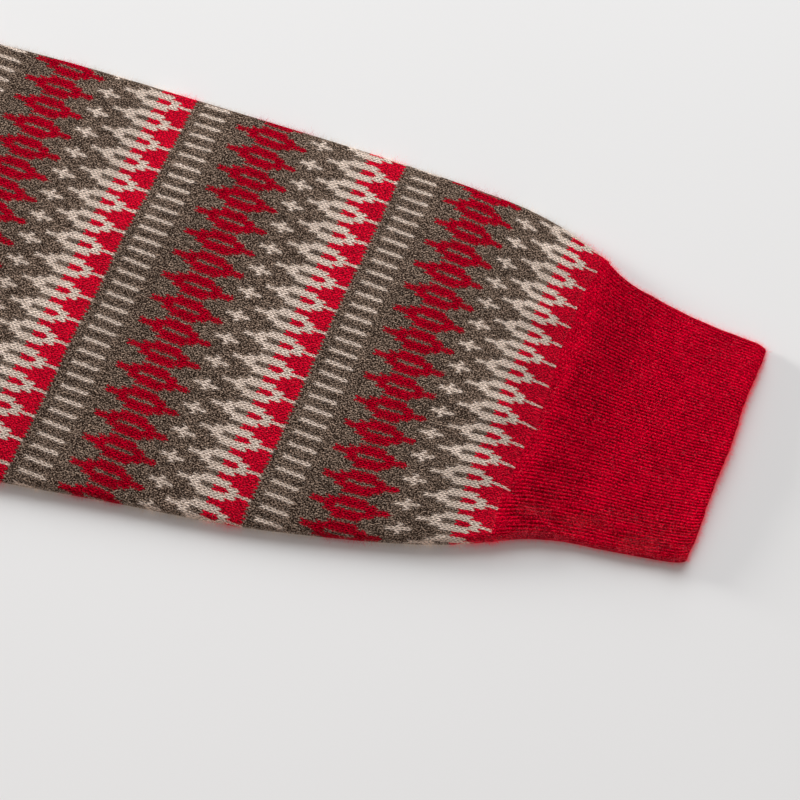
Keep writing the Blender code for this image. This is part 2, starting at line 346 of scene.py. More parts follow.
def cloth_mesh(name, points, stitches, material, outward=1, closed=False):
    """A tube of quads from rows of points whose last column lies on the first, with its UV map.

    A closed one has its ends sewn flat: each end row is joined from its top to its underside.
    """
    rows, columns = points.shape[:2]
    step = columns - 1
    row, column = np.mgrid[0 : rows - 1, 0:step]
    corners = ((row, column), (row, column + 1), (row + 1, column + 1), (row + 1, column))
    quads = np.stack([r * columns + c for r, c in corners], axis=-1).reshape(-1, 4)
    triangles = np.zeros((0, 3), int)
    if closed:
        left = np.arange(1, step // 2 - 1)
        flat = np.stack((left, left + 1, step - left - 1, step - left), axis=-1)
        tips = np.array(((0, 1, step - 1), (step // 2 - 1, step // 2, step // 2 + 1)))
        last = (rows - 1) * columns
        quads = np.concatenate((quads, flat[:, ::-1], last + flat))
        triangles = np.concatenate((tips[:, ::-1], last + tips))
    if outward < 0:
        quads, triangles = quads[:, ::-1], triangles[:, ::-1]
    faces = [(grid // columns) * step + (grid % columns) % step for grid in (quads, triangles)]
    faces = faces[0].tolist() + faces[1].tolist()
    places = np.concatenate([grid.reshape(-1) for grid in (quads, triangles)])
    stitches = stitches.reshape(-1, 2)[places]
    return put_in_scene(name, points[:, :-1].reshape(-1, 3), faces, stitches, material)


def creases_at(table, first, second):
    """Ridges and troughs: each is a bell across its width and along its length."""
    height = np.zeros(np.broadcast(first, second).shape)
    for place, other, half_length, half_width, rise, turn in table:
        angle = math.radians(turn)
        along = (first - place) * math.cos(angle) + (second - other) * math.sin(angle)
        across = (second - other) * math.cos(angle) - (first - place) * math.sin(angle)
        height += rise * np.exp(-((along / half_length) ** 2) - (across / half_width) ** 2)
    return height


def slack_at(first, second, size, seed):
    """A gentle unevenness of cloth that lies loose: a sum of slow waves in turned directions."""
    rng = np.random.default_rng(seed)
    total = np.zeros(np.broadcast(first, second).shape)
    for wave in range(7):
        turn = rng.uniform(0, 2 * np.pi)
        length = size * rng.uniform(0.6, 1.8)
        phase = rng.uniform(0, 2 * np.pi)
        total += np.sin((first * np.cos(turn) + second * np.sin(turn)) * 2 * np.pi / length + phase)
    return total / 7


# ---------------------------------------------------------------- the sleeves


def armhole(share):
    """Plan points on the armhole seam, from the underarm point at 0 to the shoulder point at 1."""
    flare = (HALF_CHEST - HALF_SHOULDER) * (1 - share) ** 3
    hollow = ARMHOLE_HOLLOW * np.sin(np.pi * share)
    return HALF_SHOULDER + flare - hollow, UNDERARM - MIDDLE + ARMHOLE_DEPTH * share


def to_wales(x, y):
    """Distances along and across the wales from the underarm point."""
    x, y = x - HALF_CHEST, y - UNDERARM + MIDDLE
    return (
        x * math.cos(WALE_ANGLE) + y * math.sin(WALE_ANGLE),
        y * math.cos(WALE_ANGLE) - x * math.sin(WALE_ANGLE),
    )


def to_plan(along, across, side):
    """The reverse of to_wales, on the left side of the sweater at 1 and on the right at -1."""
    x = HALF_CHEST + along * math.cos(WALE_ANGLE) - across * math.sin(WALE_ANGLE)
    y = UNDERARM - MIDDLE + along * math.sin(WALE_ANGLE) + across * math.cos(WALE_ANGLE)
    return side * x, y


def bowed(run, over, seam_share):
    """The seam's bow, which fades away from it."""
    return run + seam_share * smooth_at(np.clip(over, *SEAM_BOW_ENDS), SEAM_BOW[:, 0], SEAM_BOW[:, 1])


def sleeve_stitches(along, across_of_wale):
    """Wales from the middle of a feather, and courses above the rib, with the wales drawn in at the cuff."""
    near = smooth_step(along, GATHER_START, SEAM)
    spread = GATHER_MIDDLE + (across_of_wale - GATHER_MIDDLE) / (1 - GATHER_SHARE * near)
    spread = spread - GATHER_DRIFT * near
    wales = (spread - FEATHER_MIDDLE) / WALE_WIDTH + 0.5
    courses = np.interp(along, COURSE_MARKS[:, 0], COURSE_MARKS[:, 1])
    wales = wales + 0.30 * slack_at(along, across_of_wale, *WALE_SLACK)
    courses = courses + 0.45 * slack_at(along, across_of_wale, *COURSE_SLACK) * (1 - near)
    return np.stack((wales, courses), axis=-1)


def sleeve_cloth(side, cap_rows, rows, flat):
    """The sleeve's points and stitches, from the armhole seam to the cuff.

    The wales go on round the shoulder fold, so the pattern meets itself only at the underarm seam. At
    both ends the cloth turns in.
    """
    turn_in = np.array((0.0016, 0.0009, 0.0004, 0.0001))
    straight = np.linspace(SLEEVE_ROWS[0, 0], SEAM, rows)
    cap = np.linspace(0, 1, cap_rows, endpoint=False)
    part = np.concatenate((np.zeros(4), cap, np.ones(rows + 4)))[:, None]
    past_seam = straight[-1] + 0.0006 - turn_in[::-1] / 4
    along = np.concatenate((np.full(4 + cap_rows, straight[0]), straight, past_seam))
    inset = np.concatenate((turn_in, np.zeros(cap_rows + rows), turn_in[::-1] + 0.0004))
    inset = np.maximum(inset, 0.0005 * smooth_step(along, SEAM - 0.0035, SEAM))[:, None]
    places, *measures = SLEEVE_ROWS.T
    under, shoulder, low, high = (smooth_at(along, places, values)[:, None] for values in measures)
    along = along[:, None]
    chord = math.hypot(ARMHOLE_DEPTH, HALF_CHEST - HALF_SHOULDER)
    width = chord + part * (shoulder - under - chord) - 2 * inset
    thick = LAYER_TOP + part * (low - LAYER_TOP) - 2 * inset
    share, height, _, up, round_from = pressed_ring(column_marks(7, flat, 24), width, thick)
    start_along, start_across = to_wales(*armhole(share))
    run = start_along + part * (along - start_along)
    over = start_across + part * (under + share * (shoulder - under) - start_across)
    loose = smooth_step(run, -0.05, 0.10) * (1 - smooth_step(inset, 0.0005, 0.0015))
    loose = loose * (1 - 0.85 * smooth_step(along, SEAM - 0.013, SEAM))
    lift = part * (high - low) * (1 - np.abs(2 * share - 1) ** 3)
    lift = lift + creases_at(SLEEVE_CREASES, run, over) * loose
    lift = lift + 0.0009 * loose * slack_at(run, over, *SLEEVE_SLACK)
    height = height + inset + np.clip(up, 0, 1) * lift * smooth_step(share * (1 - share), 0.0, 0.04)
    x, y = to_plan(bowed(run, over, smooth_step(along, 0.270, SEAM)), over, side)
    turned = round_from / (width + 2 * inset) + 0.5
    unfolded = np.where(turned > 1, 2 - turned, turned)
    start = to_wales(*armhole(np.clip(unfolded, 0, 1)))[1]
    last = to_wales(*armhole(1.0))[1]
    place = start + part * (under + unfolded * (shoulder - under) - start)
    place = np.where(turned > 1, 2 * (last + part * (shoulder - last)) - place, place)
    return np.stack((x, y, height), axis=-1), sleeve_stitches(run, place)


def cuff_cloth(side, rows, per_rib):
    """The cuff's points and stitches, with a rounded rib for each of its wales on the face and the folds.

    It starts flush with the sleeve's end, where the ribs rise out of plain knitting. Near its lower fold
    they are deeper and uneven, as pleats. At its own end the cloth turns in round its thickness and runs
    back inside.
    """
    fold_ribs = 8
    under_columns = 60
    marks = column_marks(fold_ribs // 2 * per_rib, CUFF_RIBS * per_rib, under_columns)
    start, end = CUFF_ROWS[1, 0], CUFF_ROWS[-1, 0]
    outer = np.linspace(start - 0.0022, end - 0.0008, rows)
    lip = np.linspace(0, np.pi, 8)[1:]
    radius = CUFF_WALL / 2
    lip_out = radius * 0.65 * np.sin(lip)
    lip_in = radius * (1 - np.cos(lip))
    inner = outer[-1] - np.linspace(0, CUFF_TURN_BACK, 8)[1:]
    along = np.concatenate((np.full(3, start - 0.0028), outer, outer[-1] + lip_out, inner))
    inset = np.concatenate(((0.0016, 0.0008, 0.0003), np.zeros(rows), lip_in, np.full(7, CUFF_WALL)))
    along, inset = along[:, None], inset[:, None]
    places, *measures = CUFF_ROWS.T
    under, shoulder = (smooth_at(along, places, values) for values in measures)
    corner = 0.0028 * (1 - np.sqrt(1 - np.clip((along - end + 0.006) / 0.0065, 0, 1) ** 2))
    under, shoulder = under + corner, shoulder - corner
    thick = CUFF_TOP - CUFF_THINNING * smooth_step(along, start, start + 0.025) - 2 * inset
    share, height, out, up, _ = pressed_ring(marks, shoulder - under - 2 * inset, thick)
    far_rib = fold_ribs * 1.5 + CUFF_RIBS
    wale = np.concatenate((
        np.arange((fold_ribs // 2 + CUFF_RIBS + fold_ribs) * per_rib) / per_rib,
        np.linspace(far_rib, far_rib + CUFF_RIBS, under_columns + 1)[:-1],
        np.arange(fold_ribs // 2 * per_rib + 1) / per_rib + fold_ribs * 1.5 + 2 * CUFF_RIBS,
    ))
    begun = smooth_step(along, start + 0.001, start + 0.006)
    showing = smooth_step(up, -0.9, -0.3) * (1 - smooth_step(inset, CUFF_WALL * 0.5, CUFF_WALL))
    showing = showing * (0.15 + 0.85 * begun)
    uneven = slack_at(along, 0.0012 * wale, *RIB_SLACK)
    ridge = np.abs(np.sin(np.pi * wale)) ** 0.7
    from_fold = share * (shoulder - under)
    pleated = np.exp(-(((from_fold - 0.007) / 0.009) ** 2))
    pleated = pleated * (1.9 + 5.5 * slack_at(0.2 * along, 0.0012 * wale, *PLEAT_SLACK))
    relief = CUFF_RIB_RISE * (1 + 0.7 * uneven + pleated) * (ridge - 1)
    relief = (relief + 0.00012 * uneven) * showing
    over = under + inset + share * (shoulder - under - 2 * inset) + out * relief
    over = over + 0.00035 * slack_at(along, over, *CUFF_SIDE_SLACK) * smooth_step(along, start, start + 0.02)
    puff = 0.0007 * slack_at(along, over, *CUFF_SLACK) * smooth_step(along, start + 0.001, start + 0.020)
    swell = CUFF_SWELL * (1 - np.abs(2 * share - 1) ** 2.0) * begun
    puff = puff + creases_at(CUFF_CREASES, along, over) + swell
    puff = puff + 0.0008 * (1 - begun) * (1 - np.abs(2 * share - 1) ** 3)
    puff = puff * np.clip(up, 0, 1) * (1 - smooth_step(inset, 0, 0.001))
    height = height + inset + up * relief + puff
    wavy = 0.0012 * slack_at(0 * along, over, *LIP_SLACK) + 0.0005 * slack_at(0 * along, over, *LIP_RIPPLE)
    wavy = wavy * smooth_step(along, end - 0.02, end)
    near_seam = 1 - smooth_step(along, start, start + 0.035)
    x, y = to_plan(bowed(along + wavy, over, near_seam), over, side)
    courses = -(along - start) / RIB_COURSE - inset / RIB_COURSE
    stitches = np.stack((wale + 0 * over, courses + 0 * over), axis=-1)
    return np.stack((x, y, height), axis=-1), stitches


# ---------------------------------------------------------------- the body, its hem and its neckband


def shoulder_line(x, drop):
    """The height of a panel's upper edge: the shoulder's slope, and half an ellipse at the neck."""
    slope = SHOULDER + (HALF_SHOULDER - np.abs(x)) * math.tan(SHOULDER_SLOPE)
    neck = NECK_POINT - drop * np.sqrt(np.clip(1 - (x / HALF_NECK) ** 2, 0, 1))
    return np.where(np.abs(x) < HALF_NECK, neck, slope) - MIDDLE


def panel_cloth(drop, bottom, creases, rows, flat):
    """The front or the back: rows from the hem seam up to the shoulders, each an edge-rounded ring.

    A panel with creases lies loose, so slow waves lift it too.
    """
    turn_in = np.array((0.0010, 0.0006, 0.0003, 0.0001))
    rise = np.concatenate((np.zeros(4), np.linspace(0, 1, rows), np.ones(4)))[:, None]
    inset = np.concatenate((turn_in, np.zeros(rows), turn_in[::-1]))[:, None]
    lowest, underarm = HEM_HEIGHT - MIDDLE, UNDERARM - MIDDLE
    edge_height = lowest + rise * (SHOULDER - MIDDLE - lowest)
    up_side = np.clip((edge_height - lowest) / (underarm - lowest), 0, 1)
    up_armhole = np.clip((edge_height - underarm) / ARMHOLE_DEPTH, 0, 1)
    below_armhole = HALF_WAIST + up_side * (HALF_CHEST - HALF_WAIST)
    half = np.where(up_armhole > 0, armhole(up_armhole)[0], below_armhole)
    thick = MIDDLE_LAYER - 0.00005 - 2 * inset
    share, height, _, up, round_from = pressed_ring(column_marks(4, flat, flat), 2 * half, thick)
    across = (2 * share - 1) * half
    top = shoulder_line((2 * share - 1) * HALF_SHOULDER, drop)
    y = lowest + rise * (top - lowest)
    loose = (1 - smooth_step(inset, 0, 0.0005)) * smooth_step(rise * (1 - rise), 0.0, 0.03)
    lift = creases_at(creases, across, SHOULDER - MIDDLE - y)
    lift = lift + (0.0008 * (1 + slack_at(across, y, *FRONT_SLACK)) if creases else 0)
    lift = lift * loose * smooth_step(share * (1 - share), 0, 0.03)
    height = bottom + height + inset + lift
    wales = np.where(up < -0.5, 2 * half - across, across + (round_from - (2 * share - 1) * half))
    courses = (y - lowest) / BODY_COURSE
    return np.stack((across, y, height), axis=-1), np.stack((wales / WALE_WIDTH + 0.5, courses), axis=-1)


def ribbed_band(top_plan, bottom_plan, width, runs, inset, ribs, per_rib, thick):
    """A ribbed tube between a top and a bottom curve of plan points, which meet at its two folds.

    top_plan and bottom_plan give plan points for a share of the width and a row. The height between
    them is the stadium's, and each wale is raised as a rounded rib where it shows.
    """
    quarter = 3 * per_rib
    marks = column_marks(quarter, ribs * per_rib, ribs * per_rib)
    inner_thick = thick - 2 * inset + 0 * width
    share, height, out, up, _ = pressed_ring(marks, width - 2 * inset, inner_thick)
    wale = np.arange(len(marks)) / per_rib
    ridge = np.abs(np.sin(np.pi * wale)) ** 0.7
    showing = smooth_step(up, -0.9, -0.3) * (1 - smooth_step(inset, WALL * 0.5, WALL))
    relief = BAND_RIB_RISE * (ridge - 1) * showing
    upper = np.clip(0.5 + up, 0, 1)
    x_top, y_top = top_plan(share)
    x_low, y_low = bottom_plan(share)
    x = x_low + upper * (x_top - x_low) + out * relief
    y = y_low + upper * (y_top - y_low)
    height = height + inset + up * relief
    stitches = np.stack((wale + 0 * x, runs / RIB_COURSE + 0 * x), axis=-1)
    return np.stack((x, y, height), axis=-1), stitches


def hem_cloth(rows, ribs, per_rib):
    """The hem's points and stitches. The rows run from the seam down to the free edge and back inside."""
    lip = np.linspace(0, np.pi, 7)[1:]
    radius = WALL / 2
    outer = np.linspace(HEM_HEIGHT, 0.0008, rows)
    lip_rows = 0.0008 - radius * 0.6 * np.sin(lip)
    height = np.concatenate(((HEM_HEIGHT,) * 3, outer, lip_rows, np.linspace(0.001, 0.02, 6)))[:, None]
    lip_in = radius * (1 - np.cos(lip))
    inset = np.concatenate(((0.0014, 0.0008, 0.0002), np.zeros(rows), lip_in, np.full(6, WALL)))[:, None]
    half = HALF_HEM + (HALF_WAIST - HALF_HEM) * smooth_step(height, 0.030, 0.070)

    def plan(share):
        return (2 * share - 1) * (half - inset), height - MIDDLE + 0 * share

    return ribbed_band(plan, plan, 2 * half, HEM_HEIGHT - height, inset, ribs, per_rib, LAYER_TOP)


def neckband_cloth(rows, ribs, per_rib):
    """The front half lies on the back panel. The rows run from the seam to the free edge and back inside."""
    lip = np.linspace(0, np.pi, 7)[1:]
    radius = WALL / 2
    lip_rows = 0.96 + 0.03 * np.sin(lip)
    inner = np.linspace(0.93, 0.01, 7)
    part = np.concatenate(((0.0,) * 3, np.linspace(0, 0.96, rows), lip_rows, inner))[:, None]
    lip_in = radius * (1 - np.cos(lip))
    inset = np.concatenate(((0.0012, 0.0006, 0.0002), np.zeros(rows), lip_in, np.full(7, WALL)))[:, None]
    half = HALF_NECK - 0.0003 - NECKBAND_LEAN * part
    rise = 0.0003 + NECKBAND_RISE * part
    fall = part * (NECKBAND_HEIGHT - NECKBAND_RISE)

    def curve(drop):
        def plan(share):
            turn = np.pi * np.clip(share, 0, 1)
            soft_corner = 0.005 * part * np.abs(2 * share - 1) ** 12
            y = NECK_POINT - MIDDLE + rise - soft_corner - (drop - fall) * np.sin(turn)
            return -half * np.cos(turn), y

        return plan

    runs = part * NECKBAND_HEIGHT
    front, back = curve(FRONT_NECK_DROP), curve(BACK_NECK_DROP)
    return ribbed_band(front, back, 2 * half, runs, inset, ribs, per_rib, LAYER_TOP)


# ---------------------------------------------------------------- the nap


def nap_mesh(name, points, stitches, outward, fuzz, hairs, seed, material):
    """Fine fibres that stand out of the cloth, as one mesh of narrow pointed strips.

    Each starts at a random place on the grid, leans a random way and rises. The fuzz is short, and each
    of its fibres is one narrow strip. The hairs are longer and bend over at a waist. Both take the colour of
    the stitch that they grow from. On the folds they are longer and much closer together. Few grow
    underneath, and none goes below the table.
    """
    rng = np.random.default_rng(seed)
    count = fuzz + hairs
    normals = ring_normals(points) * outward
    spans = np.cross(points[1:, :-1] - points[:-1, :-1], points[:-1, 1:] - points[:-1, :-1])
    up = normals[:-1, :-1, 2]
    crowding = np.where(up > -0.5, 1 + FOLD_CROWDING * (1 - np.abs(up)) ** 2, UNDERSIDE_CHANCE)
    chance = np.linalg.norm(spans, axis=2) * crowding
    cell = rng.choice(chance.size, count, p=chance.reshape(-1) / chance.sum())
    row, column = np.divmod(cell, points.shape[1] - 1)
    down, right = rng.random((2, count, 1))

    def spread(grid):
        near = grid[row, column] * (1 - right) + grid[row, column + 1] * right
        far = grid[row + 1, column] * (1 - right) + grid[row + 1, column + 1] * right
        return near * (1 - down) + far * down

    foot, normal, place = spread(points), spread(normals), spread(stitches)
    lean = rng.normal(size=(count, 3))
    lean -= normal * (lean * normal).sum(1, keepdims=True)
    lean /= np.linalg.norm(lean, axis=1, keepdims=True)
    bow = np.cross(normal, lean)
    long = (np.arange(count) >= fuzz)[:, None]
    on_fold = 1 - np.abs(normal[:, 2:])
    hair_reach = HAIR_REACH + HAIR_REACH_ON_FOLD * on_fold
    reach = np.where(long, hair_reach, FUZZ_REACH + FUZZ_REACH_ON_FOLD * on_fold)
    reach = reach * rng.uniform(0.25, 1.0, (count, 1)) ** 1.3
    stand = reach * rng.uniform(0.2, 0.8 + 0.6 * on_fold) * np.where(long, 0.7, 1.0)
    curl = reach * rng.uniform(-0.5, 0.5, (count, 1))
    side = bow * np.where(long, HAIR_HALF_WIDTH, FUZZ_HALF_WIDTH) * rng.uniform(0.6, 1.2, (count, 1))
    side = side * (1 - 0.3 * on_fold)
    tip = foot + lean * reach + normal * stand + bow * curl
    tip[:, 2] = np.maximum(tip[:, 2], LOWEST_FIBRE)
    waist = foot + lean * reach * 0.5 + normal * stand * 0.75 + bow * curl * 0.3
    waist[:, 2] = np.maximum(waist[:, 2], LOWEST_FIBRE)
    foot = foot - normal * 0.0001
    short = np.stack((foot - side, foot + side, tip + side / 2, tip - side / 2), axis=1)[:fuzz]
    bent = np.stack((foot - side, foot + side, waist + side, waist - side, tip), axis=1)[fuzz:]
    short, bent = short.reshape(-1, 3), bent.reshape(-1, 3)
    first = np.arange(hairs)[:, None] * 5 + fuzz * 4
    corners = np.concatenate((first + (0, 1, 2), first + (0, 2, 3), first + (3, 2, 4)), axis=1)
    corners = corners.reshape(-1, 3)
    faces = np.arange(fuzz * 4).reshape(-1, 4).tolist() + corners.tolist()
    place = np.concatenate((np.repeat(place[:fuzz], 4, axis=0), np.repeat(place[fuzz:], 9, axis=0)))
    return put_in_scene(name, np.concatenate((short, bent)), faces, place, material)


# ---------------------------------------------------------------- the materials


class Nodes:
    """Short ways to add nodes to one tree and to link them."""

    def __init__(self, tree):
        self.tree = tree

    def add(self, kind, **settings):
        node = self.tree.nodes.new(kind)
        for key, value in settings.items():
            setattr(node, key, value)
        return node

    def feed(self, socket, value):
        if isinstance(value, bpy.types.NodeSocket):
            self.tree.links.new(value, socket)
        else:
            socket.default_value = value

    def math(self, operation, *values, clamp=False):
        node = self.add("ShaderNodeMath", operation=operation, use_clamp=clamp)
        for socket, value in zip(node.inputs, values):
            self.feed(socket, value)
        return node.outputs[0]

    def mix(self, share, first, second):
        node = self.add("ShaderNodeMix", data_type="RGBA")
        self.feed(node.inputs[0], share)
        self.feed(node.inputs[6], first)
        self.feed(node.inputs[7], second)
        return node.outputs[2]

    def split(self, vector):
        """A vector's first two parts."""
        node = self.add("ShaderNodeSeparateXYZ")
        self.feed(node.inputs[0], vector)
        return node.outputs[0], node.outputs[1]

    def channels(self, colour):
        node = self.add("ShaderNodeSeparateColor")
        self.feed(node.inputs[0], colour)
        return node.outputs

    def scaled(self, colour, share):
        node = self.add("ShaderNodeVectorMath", operation="SCALE")
        self.feed(node.inputs[0], colour)
        self.feed(node.inputs["Scale"], share)
        return node.outputs[0]

    def arch(self, value, power=1.0):
        """Rises and falls once over each unit of the value, as the sine of half a turn to a power."""
        wave = self.math("ABSOLUTE", self.math("SINE", self.math("MULTIPLY", value, math.pi)))
        return self.math("POWER", wave, power)

    def chance(self, first, second):
        """A random number of its own for each pair of whole numbers."""
        seat = self.add("ShaderNodeCombineXYZ")
        self.feed(seat.inputs[0], first)
        self.feed(seat.inputs[1], second)
        noise = self.add("ShaderNodeTexWhiteNoise", noise_dimensions="2D")
        self.feed(noise.inputs["Vector"], seat.outputs[0])
        return noise.outputs[0]

    def noise(self, vector, scale, detail=2.0, output=0):
        node = self.add("ShaderNodeTexNoise")
        self.feed(node.inputs["Vector"], vector)
        node.inputs["Scale"].default_value = scale
        node.inputs["Detail"].default_value = detail
        return node.outputs[output]

    def jitter(self, vector, scale, amount):
        """Moves a vector about by up to half the amount, by noise."""
        cloud = self.add("ShaderNodeVectorMath", operation="SUBTRACT")
        self.feed(cloud.inputs[0], self.noise(vector, scale, 1.0, 1))
        cloud.inputs[1].default_value = (0.5, 0.5, 0.5)
        moved = self.add("ShaderNodeVectorMath", operation="MULTIPLY_ADD")
        self.feed(moved.inputs[0], cloud.outputs[0])
        moved.inputs[1].default_value = (amount, amount, 0)
        self.feed(moved.inputs[2], vector)
        return moved.outputs[0]


def group_with(name, inputs, outputs):
    """A new node group with these sockets: its nodes, and its given and resulting values."""
    tree = bpy.data.node_groups.new(name, "ShaderNodeTree")
    for label, kind in inputs:
        tree.interface.new_socket(label, in_out="INPUT", socket_type=kind)
    for label, kind in outputs:
        tree.interface.new_socket(label, in_out="OUTPUT", socket_type=kind)
    nodes = Nodes(tree)
    return nodes, nodes.add("NodeGroupInput").outputs, nodes.add("NodeGroupOutput").inputs


def stitch_group():
    """One knit stitch: two legs that lean together at the foot of a V, each a slanting stroke of yarn.

    The course is counted along the leg, so the edge between two colours follows the Vs. The height is
    half round from one stroke to the next. It dips at the middle and the edges of the wale, and it has a
    hole where both dips cross.
    """
    sockets = (("Stitches", "NodeSocketVector"), ("Slant", "NodeSocketFloat"))
    results = (
        ("Height", "NodeSocketFloat"),
        ("Across", "NodeSocketFloat"),
        ("Course", "NodeSocketFloat"),
        ("Chance", "NodeSocketFloat"),
    )
    nodes, given, result = group_with("knit_stitch", sockets, results)
    wale, course = nodes.split(nodes.jitter(nodes.jitter(given["Stitches"], 0.6, 0.55), 3.0, 0.30))
    off = nodes.math("ABSOLUTE", nodes.math("MULTIPLY_ADD", nodes.math("FRACT", wale), 2.0, -1.0))
    raised = nodes.math("MULTIPLY", nodes.math("SUBTRACT", off, 0.5), given["Slant"])
    leaning = nodes.math("SUBTRACT", course, raised)
    leg = nodes.arch(off, 0.7)
    wave = nodes.arch(nodes.math("FRACT", leaning), 0.8)
    leg_dip = nodes.math("MULTIPLY_ADD", leg, 0.35, 0.65)
    wave_dip = nodes.math("MULTIPLY_ADD", wave, 0.55, 0.45)
    corner = nodes.math("MULTIPLY", nodes.math("SUBTRACT", 1.0, leg), nodes.math("SUBTRACT", 1.0, wave))
    hole = nodes.math("MULTIPLY_ADD", corner, -1.3, 1.0, clamp=True)
    nodes.feed(result["Height"], nodes.math("MULTIPLY", nodes.math("MULTIPLY", leg_dip, wave_dip), hole))
    nodes.feed(result["Across"], wale)
    nodes.feed(result["Course"], leaning)
    half_wale = nodes.math("FLOOR", nodes.math("MULTIPLY", wale, 2.0))
    nodes.feed(result["Chance"], nodes.chance(half_wale, nodes.math("FLOOR", leaning)))
    return nodes.tree


def rib_group():
    """One wale of ribbing: a beaded ridge between narrow valleys, its beads beside its neighbours' gaps."""
    results = (("Height", "NodeSocketFloat"), ("Chance", "NodeSocketFloat"))
    nodes, given, result = group_with("knit_rib", (("Stitches", "NodeSocketVector"),), results)
    wale, course = nodes.split(nodes.jitter(nodes.jitter(given["Stitches"], 0.4, 0.7), 2.5, 0.85))
    ridged = nodes.math("MULTIPLY_ADD", nodes.arch(wale, 0.8), 0.75, 0.25)
    staggered = nodes.math("MULTIPLY_ADD", nodes.math("FLOOR", wale), 0.5, course)
    beaded = nodes.math("MULTIPLY_ADD", nodes.arch(staggered), 0.50, 0.50)
    nodes.feed(result["Height"], nodes.math("MULTIPLY", ridged, beaded))
    nodes.feed(result["Chance"], nodes.chance(nodes.math("FLOOR", wale), nodes.math("FLOOR", course)))
    return nodes.tree


def chart_group():
    """The charted repeat: which yarn a stitch is knitted in, as a mark.

    Its red channel marks red, its green marks cream and its blue marks what is sunk. Heather has none.
    """
    sockets = (("Across", "NodeSocketFloat"), ("Course", "NodeSocketFloat"))
    nodes, given, result = group_with("knit_chart", sockets, (("Yarn", "NodeSocketColor"),))
    wale = nodes.math("FLOORED_MODULO", nodes.math("FLOOR", given["Across"]), 6.0)
    distance = nodes.math("SUBTRACT", 3.0, nodes.math("ABSOLUTE", nodes.math("SUBTRACT", wale, 3.0)))
    row = nodes.math("FLOORED_MODULO", nodes.math("FLOOR", given["Course"]), float(REPEAT_COURSES))
    place = nodes.math("DIVIDE", nodes.math("ADD", row, 0.5), float(REPEAT_COURSES))
    chosen = None
    for far, changes in CHART.items():
        ramp = nodes.add("ShaderNodeValToRGB")
        ramp.color_ramp.interpolation = "CONSTANT"
        nodes.feed(ramp.inputs[0], place)
        stops = ramp.color_ramp.elements
        while len(stops) < len(changes):
            stops.new(0.5)
        for stop, (course, yarn) in zip(stops, changes):
            stop.position = course / REPEAT_COURSES
            stop.color = YARN_MARK[yarn]
        if chosen is None:
            chosen = ramp.outputs[0]
        else:
            chosen = nodes.mix(nodes.math("GREATER_THAN", distance, far - 0.5), chosen, ramp.outputs[0])
    below = nodes.math("LESS_THAN", given["Course"], 0.0)
    nodes.feed(result["Yarn"], nodes.mix(below, chosen, YARN_MARK["red"]))
    return nodes.tree


def yarn_group():
    """The colour of each yarn: the red and the cream nearly even, the heather spun from dark and light.

    Fuzz brings in the nap's paler colours, and fluff does so for the red that isn't sunk.
    """
    sockets = (
        ("Yarn", "NodeSocketColor"),
        ("Stitches", "NodeSocketVector"),
        ("Chance", "NodeSocketFloat"),
        ("Fuzz", "NodeSocketFloat"),
        ("Fluff", "NodeSocketFloat"),
    )
    results = (("Colour", "NodeSocketColor"), ("Gap", "NodeSocketFloat"))
    nodes, given, result = group_with("cashmere_yarn", sockets, results)
    red_mark, cream_mark, sunk_mark, *_ = nodes.channels(given["Yarn"])
    fine = nodes.math("SUBTRACT", nodes.noise(given["Stitches"], 3.0, 2.5), 0.5)
    broad = nodes.noise(given["Stitches"], 0.25, 2.0)
    fleck = nodes.math("MULTIPLY_ADD", fine, 6.2, 0.29)
    fleck = nodes.math("ADD", fleck, nodes.math("MULTIPLY_ADD", given["Chance"], 0.6, -0.30), clamp=True)
    dyed = nodes.math("MULTIPLY_ADD", fine, 5.0, 0.42)
    dyed = nodes.math("ADD", dyed, nodes.math("MULTIPLY_ADD", broad, 0.4, -0.2))
    dyed = nodes.math("ADD", dyed, nodes.math("MULTIPLY_ADD", given["Chance"], 0.4, -0.2), clamp=True)
    heather = nodes.mix(fleck, (*HEATHER_DARK, 1), (*HEATHER_LIGHT, 1))
    red = nodes.mix(dyed, (*RED, 1), (*RED_DARK, 1))
    cream = nodes.mix(dyed, (*CREAM, 1), (*CREAM_DARK, 1))
    heather = nodes.mix(given["Fuzz"], heather, (*HEATHER_NAP, 1))
    raised = nodes.math("MULTIPLY", given["Fluff"], nodes.math("SUBTRACT", 1.0, sunk_mark))
    red = nodes.mix(nodes.math("ADD", given["Fuzz"], raised, clamp=True), red, (*RED_NAP, 1))
    not_cream = nodes.math("MAXIMUM", nodes.math("SUBTRACT", 1.0, cream_mark), 0.001)
    red_share = nodes.math("DIVIDE", red_mark, not_cream, clamp=True)
    cream_share = nodes.math("SUBTRACT", cream_mark, red_mark, clamp=True)
    colour = nodes.mix(cream_share, nodes.mix(red_share, heather, red), cream)
    # Painted shade: the sunk red is darkened by this share.
    sunk = nodes.math("MULTIPLY_ADD", sunk_mark, -SUNK_RED_PAINTED_SHADE, 1.0)
    nodes.feed(result["Colour"], nodes.scaled(colour, sunk))
    # Gap: how far the painted shade in the gaps between stitches darkens each yarn.
    gap = nodes.math("MULTIPLY_ADD", red_mark, 0.20, 0.16)
    nodes.feed(result["Gap"], nodes.math("MULTIPLY_ADD", cream_mark, -0.06, gap))
    return nodes.tree


